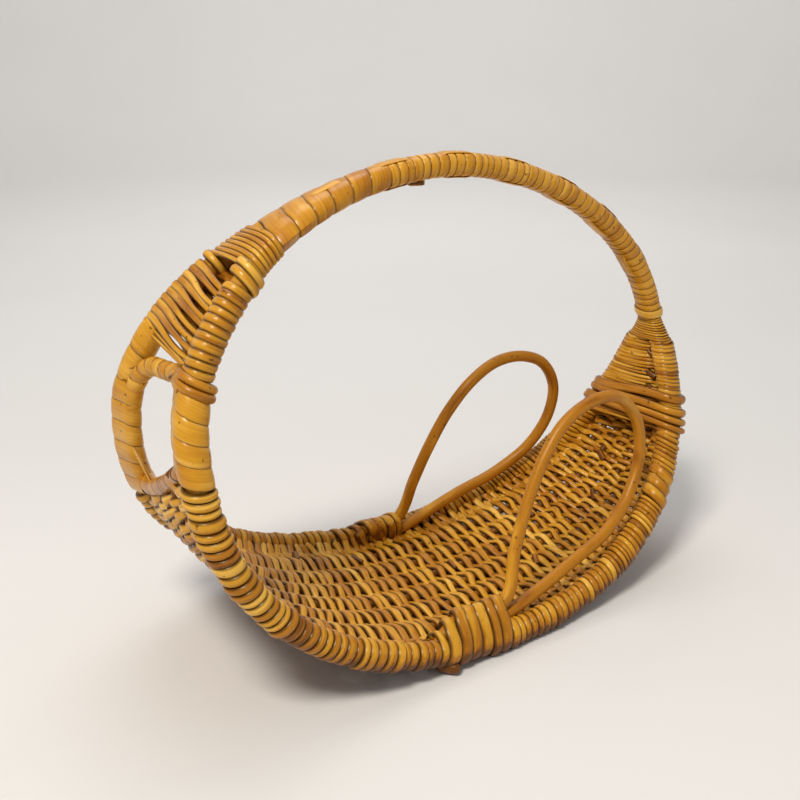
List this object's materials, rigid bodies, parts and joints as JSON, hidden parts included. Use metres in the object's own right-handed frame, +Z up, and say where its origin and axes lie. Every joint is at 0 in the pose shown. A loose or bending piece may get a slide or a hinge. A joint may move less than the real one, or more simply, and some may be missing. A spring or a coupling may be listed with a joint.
{
  "type": "woven wicker bottle cradle",
  "caption": "Woven wicker wine-bottle pouring cradle: wrapped hoop handle, neck opening between two posts, boat-shaped woven trough and rattan holding loops.",
  "frame": {"origin": "centre of the bounding box on the table plane that the cradle rests on", "axes": "+X along the cradle from the neck opening towards the end that takes the bottle's base, +Y across towards the far rim, +Z up"},
  "size_m": [0.2764, 0.1276, 0.2065],
  "materials": {
    "hoop_rod": "varnished willow rod, satin",
    "rib_rod": "varnished willow rod, satin",
    "weaver_willow": "varnished golden willow, satin gloss",
    "fork_willow": "varnished golden willow, satin gloss",
    "thick_willow": "varnished orange-brown willow, satin gloss",
    "rattan": "smooth varnished orange-brown rattan, satin gloss",
    "ring_rod": "varnished willow rod, satin",
    "skein": "flat skein strip, varnished honey colour, satin gloss",
    "leader_strip": "flat skein strip, varnished, satin"
  },
  "bodies": {
    "root": {"hoop_near": "hoop_rod", "hoop_far": "hoop_rod", "rib_1": "rib_rod", "rib_2": "rib_rod", "rib_3": "rib_rod", "rib_4": "rib_rod", "rib_5": "rib_rod", "rib_6": "rib_rod", "weaver_01": "weaver_willow", "weaver_02": "weaver_willow", "weaver_03": "weaver_willow", "weaver_04": "weaver_willow", "weaver_05": "weaver_willow", "weaver_06": "weaver_willow", "weaver_07": "weaver_willow", "weaver_08": "weaver_willow", "weaver_09": "weaver_willow", "weaver_10": "weaver_willow", "left_fork_web": "fork_willow", "left_fork_wrap": "fork_willow", "right_fork_web": "fork_willow", "right_fork_wrap": "fork_willow", "thick_wrap": "thick_willow", "loop_near": "rattan", "loop_far": "rattan", "neck_ring": "ring_rod", "handle_wrap_left": "skein", "handle_wrap_right": "skein", "near_post_wrap": "skein", "far_post_wrap": "skein", "handle_leader_top": "leader_strip", "handle_leader_under": "leader_strip"}
  },
  "joints": []
}
